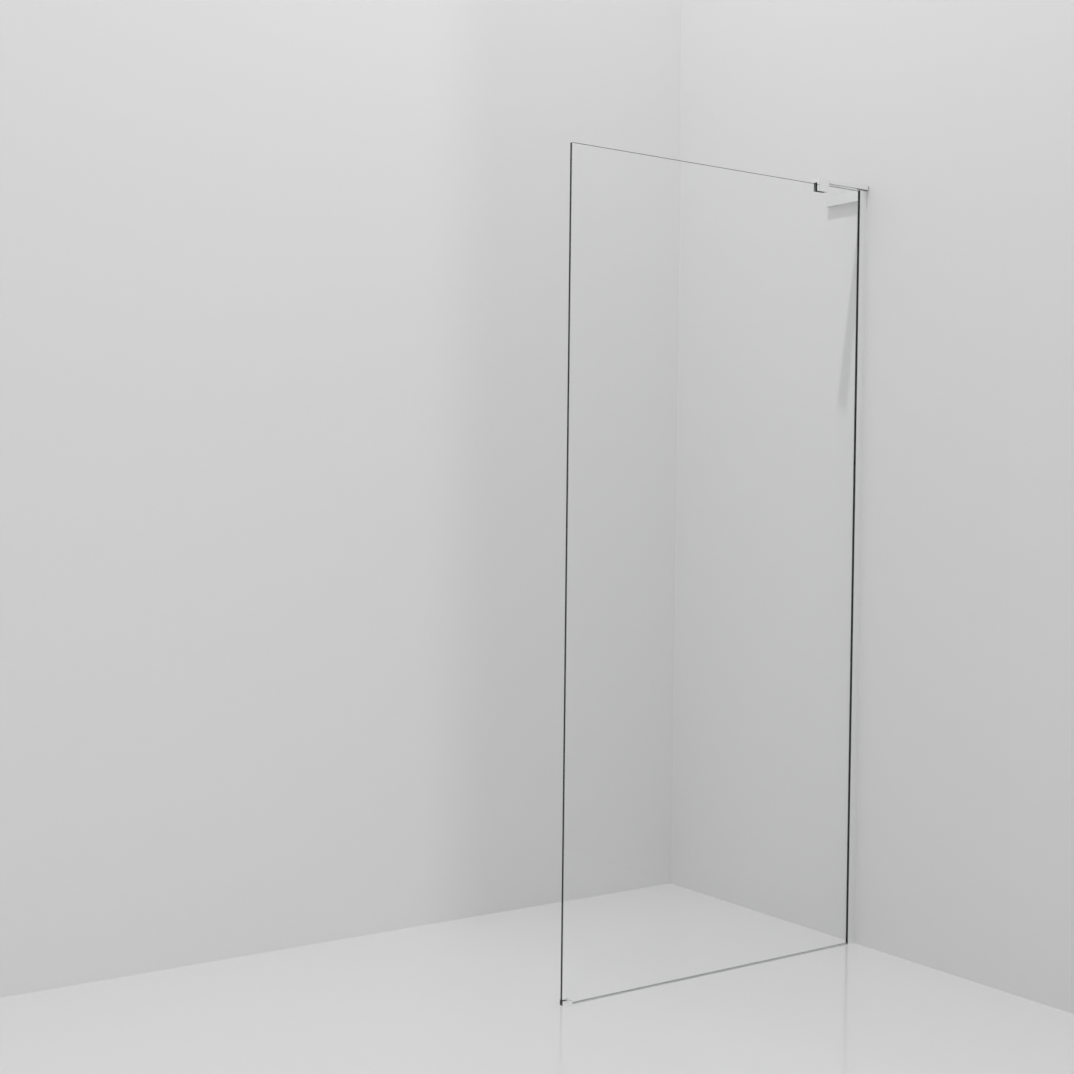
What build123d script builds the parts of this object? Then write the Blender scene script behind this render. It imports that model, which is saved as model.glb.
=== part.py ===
from build123d import *
import math
import os

# Walk-in shower screen: one fixed glass panel in a wall channel, an L-shaped stabiliser bracket at the
# top, and a small foot at the free bottom corner. Millimetres.
# The wall face is x = 0, with the screen on its -X side. The glass stands in the plane y = 0, the shower
# is on the +Y side, and the floor is z = 0.

# Whole screen
screen_reach = 964.0
screen_height = 2000.0

# Glass panel
glass_thickness = 8.0
glass_edge_gap = 14.0
glass_arris = 0.8
glass_corner_radius = 3.0
floor_gap = 3.0

# Clearances
glass_clearance = 0.1
seat_clearance = 0.02
piece_clearance = 0.3
thread_clearance = 0.05
cut_over = 1.0

# Wall channel
channel_depth = 25.0
channel_wall = 1.7
channel_web = 2.0
channel_over_glass = 0.4
channel_edge_radius = 0.5
gasket_gap = 1.1
gasket_length = 6.5
gasket_bead = 1.2
groove_depth = 0.6
groove_width = 2.5
groove_inset = 2.5
channel_hole_radius = 2.6
channel_head_radius = 4.2
channel_hole_inset = 100.0
channel_hole_count = 4

# Channel end cap and setting block
cap_thickness = 1.5
cap_leg_length = 12.0
cap_leg_thickness = 2.4
cap_leg_width = 7.6
block_mouth_gap = 2.0
block_length = 14.5
block_width = 9.0

# Stabiliser arm
arm_lift = 3.0
arm_width = 28.0
arm_height = 10.0
arm_edge = 0.6
spigot_length = 18.0
spigot_width = 16.0
spigot_height = 5.6

# Bracket leg along the wall
leg_end = 134.0
leg_start_gap = 0.7
leg_depth = 13.0
leg_height = 28.0
leg_above_glass = 6.0
leg_edge_radius = 1.0
cover_wall = 1.5
base_thickness = 4.0
base_hole_radius = 2.75
base_head_radius = 5.2
base_hole_spacing = 80.0
cover_screw_inset = 22.0

# Clamp over the top edge of the glass
clamp_reach = 183.0
clamp_length = 36.0
clamp_drop = 19.0
clamp_edge = 0.8
pad_thickness = 1.9
pad_overhang = 0.4
plate_thickness = 1.5
plate_travel = 2.0
plate_margin = 1.0
clamp_screw_spacing = 18.0

# Screws and pins
clamp_screw_radius = 3.0
clamp_screw_length = 6.0
clamp_screw_socket = 3.0
arm_grub_radius = 2.0
arm_grub_length = 5.4
arm_grub_socket = 2.0
cover_screw_radius = 1.5
cover_screw_length = 2.8
cover_screw_socket = 1.5
end_screw_radius = 2.0
end_screw_length = 16.0
end_screw_head_radius = 3.75
end_screw_socket = 2.5
dowel_radius = 1.5
dowel_length = 8.0
dowel_spacing = 18.0
dowel_set_back = 1.5
screw_end_chamfer = 0.4
socket_depth_share = 0.45

# Foot at the free bottom corner
foot_length = 25.0
foot_width = 24.0
foot_height = 12.5
foot_base = 1.4
foot_edge = 1.2
liner_thickness = 1.2
liner_recess = 0.6
foot_screw_radius = 2.0
foot_screw_length = 6.0
foot_screw_socket = 2.0
foot_screw_spacing = 12.0

# Seal under the glass
seal_top_width = 7.0
seal_foot_width = 10.0

# Planes and levels that several pieces share
glass_half = glass_thickness / 2
channel_inner_half = glass_half + gasket_gap
channel_half = channel_inner_half + channel_wall
channel_top = screen_height + channel_over_glass
floor_support_top = floor_gap - glass_clearance

arm_half = arm_width / 2
arm_bottom = screen_height + arm_lift
arm_top = arm_bottom + arm_height
arm_middle = (arm_bottom + arm_top) / 2

leg_start = channel_half + leg_start_gap
leg_top = screen_height + leg_above_glass
leg_bottom = leg_top - leg_height
leg_middle = (leg_top + leg_bottom) / 2
base_edge_gap = cover_wall + piece_clearance
base_hole_centre = (arm_half + leg_end) / 2

clamp_free_end = -clamp_reach
clamp_arm_end = clamp_free_end + clamp_length
clamp_middle = (clamp_free_end + clamp_arm_end) / 2
clamp_bottom = screen_height - clamp_drop
clamp_screw_level = clamp_bottom + clamp_drop / 2
pad_face = glass_half + glass_clearance
pad_back = pad_face + pad_thickness
plate_back = pad_back + plate_thickness
rear_jaw_face = plate_back + plate_travel + piece_clearance
arm_grub_x = clamp_arm_end - spigot_length / 2

foot_half = foot_width / 2
foot_slot_half = glass_half + glass_clearance + liner_thickness
foot_free_end = -screen_reach
foot_inner_end = foot_free_end + foot_length
foot_middle = (foot_free_end + foot_inner_end) / 2
foot_screw_level = (foot_base + foot_height) / 2
foot_slot_x = (foot_free_end - cut_over, foot_inner_end + cut_over)


def block(x_range, y_range, z_range):
    """A box between two corners, given as (low, high) along each axis."""
    size = [high - low for low, high in (x_range, y_range, z_range)]
    middle = [(high + low) / 2 for low, high in (x_range, y_range, z_range)]
    return Pos(*middle) * Box(*size)


def rod(start, direction, radius, length):
    """A round bar from a start point along a direction."""
    plane = Plane(origin=start, z_dir=direction)
    return plane * Cylinder(radius, length, align=(Align.CENTER, Align.CENTER, Align.MIN))


def upright(outline, bottom, top):
    """A prism with its outline in plan and its height between two levels."""
    return Pos(0, 0, bottom) * extrude(outline, amount=top - bottom)


def from_wall(points, near, far):
    """A prism whose outline is drawn on the wall as (y, z), between two distances from the wall."""
    outline = Plane.YZ * Polygon(*points, align=None)
    return Pos(-near, 0, 0) * extrude(outline, amount=near - far)


def socket(across_flats, depth):
    """A hexagon socket that goes down from z = 0."""
    hexagon = RegularPolygon(across_flats / math.sqrt(3), side_count=6)
    return extrude(hexagon, amount=-depth)


def grub_screw(start, direction, radius, length, across_flats):
    """A headless screw from its tip at start, with its socket at the far end."""
    body = Cylinder(radius, length, align=(Align.CENTER, Align.CENTER, Align.MIN))
    body = chamfer(body.edges().filter_by(GeomType.CIRCLE), screw_end_chamfer)
    body -= Pos(0, 0, length) * socket(across_flats, length * socket_depth_share)
    return Plane(origin=start, z_dir=direction) * body


def countersunk_screw(start, direction, radius, length, head_radius, across_flats):
    """A countersunk screw from its tip at start to the flat of its head."""
    shoulder = length - (head_radius - radius)
    profile = Plane.XZ * make_face(
        Polyline(
            (0, 0),
            (radius - screw_end_chamfer, 0),
            (radius, screw_end_chamfer),
            (radius, shoulder),
            (head_radius, length),
            (0, length),
            close=True,
        )
    )
    body = revolve(profile, Axis.Z)
    body -= Pos(0, 0, length) * socket(across_flats, head_radius - radius)
    return Plane(origin=start, z_dir=direction) * body


def countersink(face_point, direction, radius, head_radius, depth):
    """A countersunk hole that starts at a face point and goes along a direction."""
    through = Cylinder(radius, depth, align=(Align.CENTER, Align.CENTER, Align.MIN))
    cone_depth = head_radius - radius
    cone = Cone(head_radius, radius, cone_depth, align=(Align.CENTER, Align.CENTER, Align.MIN))
    return Plane(origin=face_point, z_dir=direction) * (through + cone)


def spread(count, spacing):
    """Offsets of a row of places about its middle."""
    return [(i - (count - 1) / 2) * spacing for i in range(count)]


# Glass panel
def glass_panel():
    """Toughened panel with rounded corners and a polished arris all round."""
    width = screen_reach - glass_edge_gap
    height = screen_height - floor_gap
    outline = RectangleRounded(width, height, glass_corner_radius)
    panel = extrude(Plane.XZ * outline, amount=glass_half, both=True)
    faces = panel.faces().sort_by(Axis.Y)
    panel = chamfer([*faces[0].edges(), *faces[-1].edges()], glass_arris)
    return Pos(-glass_edge_gap - width / 2, 0, floor_gap + height / 2) * panel


# Wall channel and what sits in it
def groove_span():
    """The two x limits of the gasket groove."""
    start = -channel_depth + groove_inset
    return start, start + groove_width


def channel_hole_levels():
    """Heights of the wall screw holes."""
    run = screen_height - 2 * channel_hole_inset
    pitch = run / (channel_hole_count - 1)
    return [channel_hole_inset + i * pitch for i in range(channel_hole_count)]


def wall_channel():
    """Extruded U with a groove for each gasket and countersunk wall screw holes in its web."""
    outer = block((-channel_depth, 0), (-channel_half, channel_half), (0, channel_top))
    mouth_edges = outer.edges().filter_by(Axis.Z).sort_by(Axis.X)[:2]
    channel = fillet(mouth_edges, channel_edge_radius)
    cut_z = (-cut_over, channel_top + cut_over)
    inner_y = (-channel_inner_half, channel_inner_half)
    channel -= block((-channel_depth - cut_over, -channel_web), inner_y, cut_z)
    groove_y = (-channel_inner_half - groove_depth, channel_inner_half + groove_depth)
    channel -= block(groove_span(), groove_y, cut_z)
    for level in channel_hole_levels():
        face_point = (-channel_web, 0, level)
        channel -= countersink(
            face_point, (1, 0, 0), channel_hole_radius, channel_head_radius, channel_web + cut_over
        )
    return channel


def channel_gasket(side):
    """Rubber strip between glass and channel wall: a flat web, a bead at the mouth and a dart."""
    outer = channel_inner_half - seat_clearance
    inner = pad_face
    bead_end = -channel_depth - gasket_bead
    web_end = -channel_depth + gasket_length
    outline = make_face(
        Polyline(
            (bead_end, inner),
            (web_end, inner),
            (web_end, (inner + outer) / 2),
            (web_end - (outer - inner) / 2, outer),
            (bead_end, outer),
            close=True,
        )
    )
    bead_corners = outline.vertices().group_by(Axis.X)[0]
    outline = fillet(bead_corners, (outer - inner) * 0.45)
    strip = upright(outline, floor_gap, screen_height)
    groove_start, groove_end = groove_span()
    dart_x = (groove_start + seat_clearance, groove_end - seat_clearance)
    dart_y = (outer - seat_clearance, channel_inner_half + groove_depth - seat_clearance)
    strip += block(dart_x, dart_y, (floor_gap, screen_height))
    return strip if side > 0 else mirror(strip, about=Plane.XZ)


def channel_top_cap():
    """Flat cap on the channel's end with one leg that plugs in along the web."""
    cap = block((-channel_depth, 0), (-channel_half, channel_half), (channel_top, channel_top + cap_thickness))
    rim = cap.faces().sort_by(Axis.Z)[-1].edges().sort_by(Axis.X)[:-1]
    cap = chamfer(rim, channel_edge_radius)
    leg_x = (-channel_web - seat_clearance - cap_leg_thickness, -channel_web - seat_clearance)
    leg_y = (-cap_leg_width / 2, cap_leg_width / 2)
    cap += block(leg_x, leg_y, (channel_top - cap_leg_length, channel_top + cap_thickness / 2))
    return cap


def setting_block():
    """Hard packer under the glass inside the channel."""
    half = block_width / 2
    start = -channel_depth + block_mouth_gap
    packer = block((start, start + block_length), (-half, half), (0, floor_support_top))
    return chamfer(packer.edges().filter_by(Axis.X), screw_end_chamfer)


def bottom_seal():
    """Strip between the floor and the glass, from the foot to the channel."""
    points = [
        (-seal_foot_width / 2, 0),
        (seal_foot_width / 2, 0),
        (seal_top_width / 2, floor_support_top),
        (-seal_top_width / 2, floor_support_top),
    ]
    near = channel_depth + piece_clearance
    far = -foot_inner_end - piece_clearance
    return from_wall(points, near, far)


# Bracket leg: base plate on the wall under a cover
def cover_outline(inset):
    """The cover's outline on the wall, as (y, z), drawn in by an inset."""
    notch_y = arm_half + piece_clearance
    notch_z = arm_bottom - piece_clearance
    return [
        (leg_start + inset, leg_bottom + inset),
        (leg_end - inset, leg_bottom + inset),
        (leg_end - inset, leg_top - inset),
        (notch_y + inset, leg_top - inset),
        (notch_y + inset, notch_z - inset),
        (leg_start + inset, notch_z - inset),
    ]


def cover_screw_places():
    """Y places of the two screws under the cover."""
    return [arm_half + cover_screw_inset, leg_end - cover_screw_inset]


def bracket_base_plate():
    """Steel plate on the wall: a long leg beside the channel and an ear above it for the arm."""
    low_y = leg_start + base_edge_gap
    points = [
        (low_y, leg_bottom + base_edge_gap),
        (leg_end - base_edge_gap, leg_bottom + base_edge_gap),
        (leg_end - base_edge_gap, leg_top - base_edge_gap),
        (arm_half, leg_top - base_edge_gap),
        (arm_half, arm_top),
        (-arm_half, arm_top),
        (-arm_half, arm_bottom + piece_clearance),
        (low_y, arm_bottom + piece_clearance),
    ]
    plate = from_wall(points, 0, base_thickness)
    for offset in spread(2, base_hole_spacing):
        face_point = (-base_thickness, base_hole_centre + offset, leg_middle)
        plate -= countersink(
            face_point, (1, 0, 0), base_hole_radius, base_head_radius, base_thickness + cut_over
        )
    plate -= countersink(
        (0, 0, arm_middle),
        (-1, 0, 0),
        end_screw_radius + thread_clearance,
        end_screw_head_radius + 2 * thread_clearance,
        base_thickness + cut_over,
    )
    for y in spread(2, dowel_spacing):
        depth = base_thickness - dowel_set_back + seat_clearance
        plate -= rod((-base_thickness, y, arm_middle), (1, 0, 0), dowel_radius + seat_clearance, depth)
    for y in cover_screw_places():
        depth = cover_screw_length
        start = (-base_thickness / 2, y, leg_bottom + base_edge_gap)
        plate -= rod(start, (0, 0, 1), cover_screw_radius + thread_clearance, depth)
    return plate


def bracket_cover():
    """Polished shell over the base plate, open to the wall and notched round the arm."""
    shell = from_wall(cover_outline(0), 0, leg_depth)
    front = shell.faces().sort_by(Axis.X)[0]
    shell = fillet(front.edges(), leg_edge_radius)
    shell -= from_wall(cover_outline(cover_wall), -cut_over, leg_depth - cover_wall)
    neck_y = (leg_start + cover_wall, arm_half + base_edge_gap)
    neck_z = (arm_bottom - piece_clearance - base_edge_gap, leg_top - cover_wall)
    shell -= block((-base_thickness - piece_clearance, cut_over), neck_y, neck_z)
    for y in cover_screw_places():
        start = (-base_thickness / 2, y, leg_bottom - cut_over)
        shell -= rod(start, (0, 0, 1), cover_screw_radius + thread_clearance, cover_wall + 2 * cut_over)
    return shell


def cover_grub_screws():
    """Two small screws from below that hold the cover on the base plate."""
    tip = leg_bottom + cover_screw_length + thread_clearance
    screws = []
    for y in cover_screw_places():
        start = (-base_thickness / 2, y, tip)
        screw = grub_screw(start, (0, 0, -1), cover_screw_radius, cover_screw_length, cover_screw_socket)
        screws.append(screw)
    return Compound(children=screws)


# Stabiliser arm
def stabiliser_arm():
    """Flat bar from the wall to the clamp, with a spigot at the clamp and bores at the wall end."""
    bar = block((clamp_arm_end, -base_thickness), (-arm_half, arm_half), (arm_bottom, arm_top))
    bar = chamfer(bar.edges().filter_by(Axis.X), arm_edge)
    spigot_y = (-spigot_width / 2, spigot_width / 2)
    spigot_z = (arm_middle - spigot_height / 2, arm_middle + spigot_height / 2)
    bar += block((clamp_arm_end - spigot_length, clamp_arm_end), spigot_y, spigot_z)
    screw_bore = end_screw_radius + thread_clearance
    start = (-base_thickness, 0, arm_middle)
    bar -= rod(start, (-1, 0, 0), screw_bore, end_screw_length - base_thickness + piece_clearance)
    for y in spread(2, dowel_spacing):
        depth = dowel_length + dowel_set_back - base_thickness + seat_clearance
        start = (-base_thickness, y, arm_middle)
        bar -= rod(start, (-1, 0, 0), dowel_radius + seat_clearance, depth)
    return bar


def arm_end_screw():
    """Countersunk screw from the wall side through the ear into the arm."""
    start = (-end_screw_length - thread_clearance, 0, arm_middle)
    return countersunk_screw(
        start, (1, 0, 0), end_screw_radius, end_screw_length, end_screw_head_radius, end_screw_socket
    )


def arm_dowel_pins():
    """Two pins that stop the arm from turning on its screw."""
    pins = []
    for y in spread(2, dowel_spacing):
        pin = rod((-dowel_set_back, y, arm_middle), (-1, 0, 0), dowel_radius, dowel_length)
        pins.append(chamfer(pin.edges().filter_by(GeomType.CIRCLE), screw_end_chamfer / 2))
    return Compound(children=pins)


# Clamp over the top edge of the glass
def clamp_screw_places():
    """X places of the two screws in the rear jaw."""
    return [clamp_middle + offset for offset in spread(2, clamp_screw_spacing)]


def clamp_body():
    """Saddle over the glass: front jaw, bridge with the arm's socket, and threaded rear jaw."""
    x_range = (clamp_free_end, clamp_arm_end)
    body = block(x_range, (-arm_half, arm_half), (clamp_bottom, arm_top))
    body = chamfer(body.edges(), clamp_edge)
    slot_x = (clamp_free_end - cut_over, clamp_arm_end + cut_over)
    slot_y = (-pad_back, rear_jaw_face)
    body -= block(slot_x, slot_y, (clamp_bottom - cut_over, arm_bottom))
    pocket_x = (clamp_arm_end - spigot_length - piece_clearance, clamp_arm_end + cut_over)
    half_width = spigot_width / 2 + thread_clearance
    half_height = spigot_height / 2 + thread_clearance
    pocket_z = (arm_middle - half_height, arm_middle + half_height)
    body -= block(pocket_x, (-half_width, half_width), pocket_z)
    grub_bore = arm_grub_radius + thread_clearance
    body -= rod((arm_grub_x, 0, arm_middle), (0, 1, 0), grub_bore, arm_half + cut_over)
    for x in clamp_screw_places():
        bore = clamp_screw_radius + thread_clearance
        body -= rod((x, rear_jaw_face - cut_over, clamp_screw_level), (0, 1, 0), bore, arm_half)
    return body


def clamp_pad_front():
    """Rubber pad bonded to the front jaw."""
    x_range = (clamp_free_end, clamp_arm_end)
    return block(x_range, (-pad_back, -pad_face), (clamp_bottom - pad_overhang, screen_height))


def clamp_top_buffer():
    """Rubber buffer between the glass's top edge and the bridge."""
    x_range = (clamp_free_end, clamp_arm_end)
    return block(x_range, (-glass_half, glass_half), (screen_height + glass_clearance, arm_bottom))


def arm_grub_screw():
    """Screw in the side of the bridge that holds the arm's spigot."""
    tip_y = spigot_width / 2 + thread_clearance
    start = (arm_grub_x, tip_y, arm_middle)
    return grub_screw(start, (0, 1, 0), arm_grub_radius, arm_grub_length, arm_grub_socket)


def pressure_pad():
    """Rubber pad bonded to the pressure plate."""
    x_range = (clamp_free_end, clamp_arm_end)
    return block(x_range, (pad_face, pad_back), (clamp_bottom - pad_overhang, screen_height))


def pressure_plate():
    """Steel plate behind the rear pad that the two screws push."""
    x_range = (clamp_free_end + plate_margin, clamp_arm_end - plate_margin)
    plate = block(x_range, (pad_back, plate_back), (clamp_bottom + plate_margin, screen_height))
    return chamfer(plate.edges().filter_by(Axis.Y), plate_margin / 2)


def clamp_grub_screws():
    """Two screws in the rear jaw that press the plate against the glass."""
    screws = []
    for x in clamp_screw_places():
        start = (x, plate_back, clamp_screw_level)
        screw = grub_screw(start, (0, 1, 0), clamp_screw_radius, clamp_screw_length, clamp_screw_socket)
        screws.append(screw)
    return Compound(children=screws)


# Foot at the free bottom corner
def foot_body():
    """Small shoe on the floor, slotted along its length for the glass."""
    x_range = (foot_free_end, foot_inner_end)
    body = block(x_range, (-foot_half, foot_half), (0, foot_height))
    upper_edges = body.faces().sort_by(Axis.Z)[-1].edges()
    body = chamfer([*upper_edges, *body.edges().filter_by(Axis.Z)], foot_edge)
    slot_y = (-foot_slot_half, foot_slot_half)
    body -= block(foot_slot_x, slot_y, (foot_base, foot_height + cut_over))
    for offset in spread(2, foot_screw_spacing):
        start = (foot_middle + offset, foot_slot_half - cut_over, foot_screw_level)
        body -= rod(start, (0, 1, 0), foot_screw_radius + thread_clearance, foot_half)
    return body


def foot_liner():
    """Rubber U between the shoe and the glass."""
    outer_half = foot_slot_half - seat_clearance
    inner_half = glass_half + glass_clearance
    x_range = (foot_free_end, foot_inner_end)
    liner = block(x_range, (-outer_half, outer_half), (foot_base, foot_height - liner_recess))
    liner -= block(foot_slot_x, (-inner_half, inner_half), (floor_support_top, foot_height))
    return liner


def foot_grub_screws():
    """Two screws in the shoe's shower side."""
    screws = []
    for offset in spread(2, foot_screw_spacing):
        start = (foot_middle + offset, foot_slot_half + thread_clearance, foot_screw_level)
        screw = grub_screw(start, (0, 1, 0), foot_screw_radius, foot_screw_length, foot_screw_socket)
        screws.append(screw)
    return Compound(children=screws)


def all_pieces():
    """Every piece of the screen by its node name."""
    return {
        "glass_panel": glass_panel(),
        "wall_channel": wall_channel(),
        "channel_gasket_front": channel_gasket(-1),
        "channel_gasket_rear": channel_gasket(1),
        "channel_top_cap": channel_top_cap(),
        "setting_block": setting_block(),
        "bottom_seal": bottom_seal(),
        "bracket_base_plate": bracket_base_plate(),
        "bracket_cover": bracket_cover(),
        "cover_grub_screws": cover_grub_screws(),
        "stabiliser_arm": stabiliser_arm(),
        "arm_end_screw": arm_end_screw(),
        "arm_dowel_pins": arm_dowel_pins(),
        "clamp_body": clamp_body(),
        "clamp_pad_front": clamp_pad_front(),
        "clamp_top_buffer": clamp_top_buffer(),
        "arm_grub_screw": arm_grub_screw(),
        "pressure_pad": pressure_pad(),
        "pressure_plate": pressure_plate(),
        "clamp_grub_screws": clamp_grub_screws(),
        "foot_body": foot_body(),
        "foot_liner": foot_liner(),
        "foot_grub_screws": foot_grub_screws(),
    }


os.makedirs("parts", exist_ok=True)
for name, piece in all_pieces().items():
    export_step(piece, f"parts/{name}.step")
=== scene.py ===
"""The looks of a walk-in shower screen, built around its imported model.

The frame has the wall face at x = 0 with the screen on its -X side, the glass in the plane y = 0
with the shower on the +Y side, and the floor at z = 0. Everything is in metres.
"""

import logging
import math
from collections.abc import Iterable, Sequence
from dataclasses import dataclass, field
from enum import Enum
from typing import Any

import bmesh
import bpy
from bpy.types import Material, NodeSocket
from mathutils import Matrix, Vector


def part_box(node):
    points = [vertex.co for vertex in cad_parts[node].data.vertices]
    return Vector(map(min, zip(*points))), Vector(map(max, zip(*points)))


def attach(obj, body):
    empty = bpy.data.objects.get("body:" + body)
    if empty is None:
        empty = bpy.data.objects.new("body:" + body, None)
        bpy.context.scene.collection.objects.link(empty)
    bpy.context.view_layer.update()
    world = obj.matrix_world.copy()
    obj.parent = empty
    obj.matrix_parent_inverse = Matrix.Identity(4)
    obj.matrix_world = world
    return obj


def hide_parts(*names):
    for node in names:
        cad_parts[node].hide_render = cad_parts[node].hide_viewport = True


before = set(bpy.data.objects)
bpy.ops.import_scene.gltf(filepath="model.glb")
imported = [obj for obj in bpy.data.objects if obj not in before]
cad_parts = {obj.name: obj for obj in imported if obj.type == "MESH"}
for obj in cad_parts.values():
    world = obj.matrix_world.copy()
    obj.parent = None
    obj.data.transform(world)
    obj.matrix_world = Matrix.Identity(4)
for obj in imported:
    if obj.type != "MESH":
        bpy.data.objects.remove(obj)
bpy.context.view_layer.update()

log = logging.getLogger("shower_screen")

MM = 0.001
MERGE_DISTANCE = 1e-6
SHARP_ANGLE = math.radians(30)
FLAT_ANGLE = math.radians(0.5)
SOFT_EDGE_SEGMENTS = 2
FINE_EDGE = 0.05 * MM
PARALLEL = 0.99
BROAD_LEAN = 0.9
ARRIS_LEAN = 0.2
CLEAR_IOR = 1.5

Point = tuple[float, float, float]
Colour = tuple[float, float, float]
Stops = Sequence[tuple[float, float]]


class Body(Enum):
    """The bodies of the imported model."""

    FIXED = "wall_fixings"
    GLASS = "glass"
    PLATE = "clamp_plate"


class Along(Enum):
    """A direction that a grain, an edge or a screw follows."""

    X = Vector((1, 0, 0))
    Y = Vector((0, 1, 0))
    Z = Vector((0, 0, 1))


# Shader tools


class Value:
    """A number on a node's output, with the arithmetic that the finishes use."""

    def __init__(self, sheet: "Sheet", socket: NodeSocket) -> None:
        """Wraps a socket of a sheet's tree."""
        self.sheet = sheet
        self.socket = socket

    def maths(self, operation: str, *terms: "Value | float") -> "Value":
        """Adds a Math node.

        Args:
            operation: The node's operation.
            terms: Its inputs, in order.

        Returns:
            The node's result.
        """
        sockets = dict(enumerate(terms))
        made = self.sheet.node("ShaderNodeMath", {"operation": operation}, sockets)
        return Value(self.sheet, made.outputs[0])

    def __add__(self, other: "Value | float") -> "Value":
        """Adds."""
        return self.maths("ADD", self, other)

    def __radd__(self, other: float) -> "Value":
        """Adds to a plain number."""
        return self.maths("ADD", other, self)

    def __mul__(self, other: "Value | float") -> "Value":
        """Multiplies."""
        return self.maths("MULTIPLY", self, other)

    def __rmul__(self, other: float) -> "Value":
        """Multiplies a plain number."""
        return self.maths("MULTIPLY", other, self)

    def clamped(self) -> "Value":
        """Holds the value between 0 and 1."""
        made = self.sheet.node("ShaderNodeClamp", {}, {"Value": self})
        return Value(self.sheet, made.outputs[0])


class Sheet:
    """The node tree of one material."""

    def __init__(self, name: str) -> None:
        """Starts an empty material.

        Args:
            name: The material's name.
        """
        self.material = bpy.data.materials.new(name)
        self.material.use_nodes = True
        self.tree = self.material.node_tree
        self.tree.nodes.clear()

    def node(
        self,
        kind: str,
        settings: dict[str, Any] | None = None,
        sockets: dict[Any, Any] | None = None,
    ) -> bpy.types.Node:
        """Adds a node, its settings first and then its sockets.

        Args:
            kind: The node's type.
            settings: Its properties. "stops" sets a ramp as (place, grey level) pairs.
            sockets: Values or links, by the input's name or number.

        Returns:
            The new node.
        """
        made = self.tree.nodes.new(kind)
        for name, value in (settings or {}).items():
            if name == "stops":
                self.set_stops(made.color_ramp, value)
            else:
                setattr(made, name, value)
        for name, value in (sockets or {}).items():
            source = value.socket if isinstance(value, Value) else value
            if isinstance(source, NodeSocket):
                self.tree.links.new(source, made.inputs[name])
            else:
                made.inputs[name].default_value = source
        return made

    @staticmethod
    def set_stops(ramp: bpy.types.ColorRamp, stops: Stops) -> None:
        """Sets a ramp's stops.

        Args:
            ramp: The ramp.
            stops: Its (place, grey level) pairs.
        """
        while len(ramp.elements) < len(stops):
            ramp.elements.new(1.0)
        for element, (place, level) in zip(ramp.elements, stops):
            element.position = place
            element.color = (level, level, level, 1)

    def place(self, scale: Point = (1, 1, 1)) -> NodeSocket:
        """The object's own coordinates in metres, stretched.

        Args:
            scale: How many times finer the pattern runs along each axis.

        Returns:
            A vector output.
        """
        here = self.node("ShaderNodeTexCoord")
        sockets = {"Vector": here.outputs["Object"], "Scale": scale}
        return self.node("ShaderNodeMapping", {}, sockets).outputs["Vector"]

    def noise(
        self, vector: NodeSocket, scale: float, detail: float = 2, rough: float = 0.5
    ) -> Value:
        """Smooth noise between 0 and 1 at a scale in cycles a metre."""
        sockets = {"Vector": vector, "Scale": scale, "Detail": detail, "Roughness": rough}
        return Value(self, self.node("ShaderNodeTexNoise", {}, sockets).outputs[0])

    def stepped(self, value: Value, stops: Stops) -> Value:
        """Runs a value through a grey ramp."""
        return Value(self, self.node("ShaderNodeValToRGB", {"stops": stops}, {0: value}).outputs[0])

    def between(self, factor: Value, low: Colour, high: Colour) -> NodeSocket:
        """Mixes two colours by a factor."""
        sockets = {0: factor, 6: (*low, 1), 7: (*high, 1)}
        return self.node("ShaderNodeMix", {"data_type": "RGBA"}, sockets).outputs[2]

    def shaded(self, factor: Value, colour: Colour, share: float) -> NodeSocket:
        """Mixes a colour at a share of its brightness with the full colour, by a factor."""
        return self.between(factor, tuple(part * share for part in colour), colour)

    def bump(self, height: Value, depth: float, strength: float = 1.0) -> NodeSocket:
        """A normal from a height between 0 and 1, over a depth in metres."""
        sockets = {"Height": height, "Distance": depth, "Strength": strength}
        return self.node("ShaderNodeBump", {}, sockets).outputs["Normal"]

    def principled(self, sockets: dict[str, Any]) -> NodeSocket:
        """A Principled shader."""
        return self.node("ShaderNodeBsdfPrincipled", {}, sockets).outputs[0]

    def finished(self, shader: NodeSocket) -> Material:
        """Connects a shader to the output and gives the material back."""
        self.node("ShaderNodeOutputMaterial", {}, {"Surface": shader})
        return self.material


def drawn_out(along: Along | None, stretch: float) -> Point:
    """The scale of a pattern that is stretched along a direction, or along none."""
    axes = (0, 0, 0) if along is None else along.value
    return tuple(stretch if part else 1.0 for part in axes)


# Finishes


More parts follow.
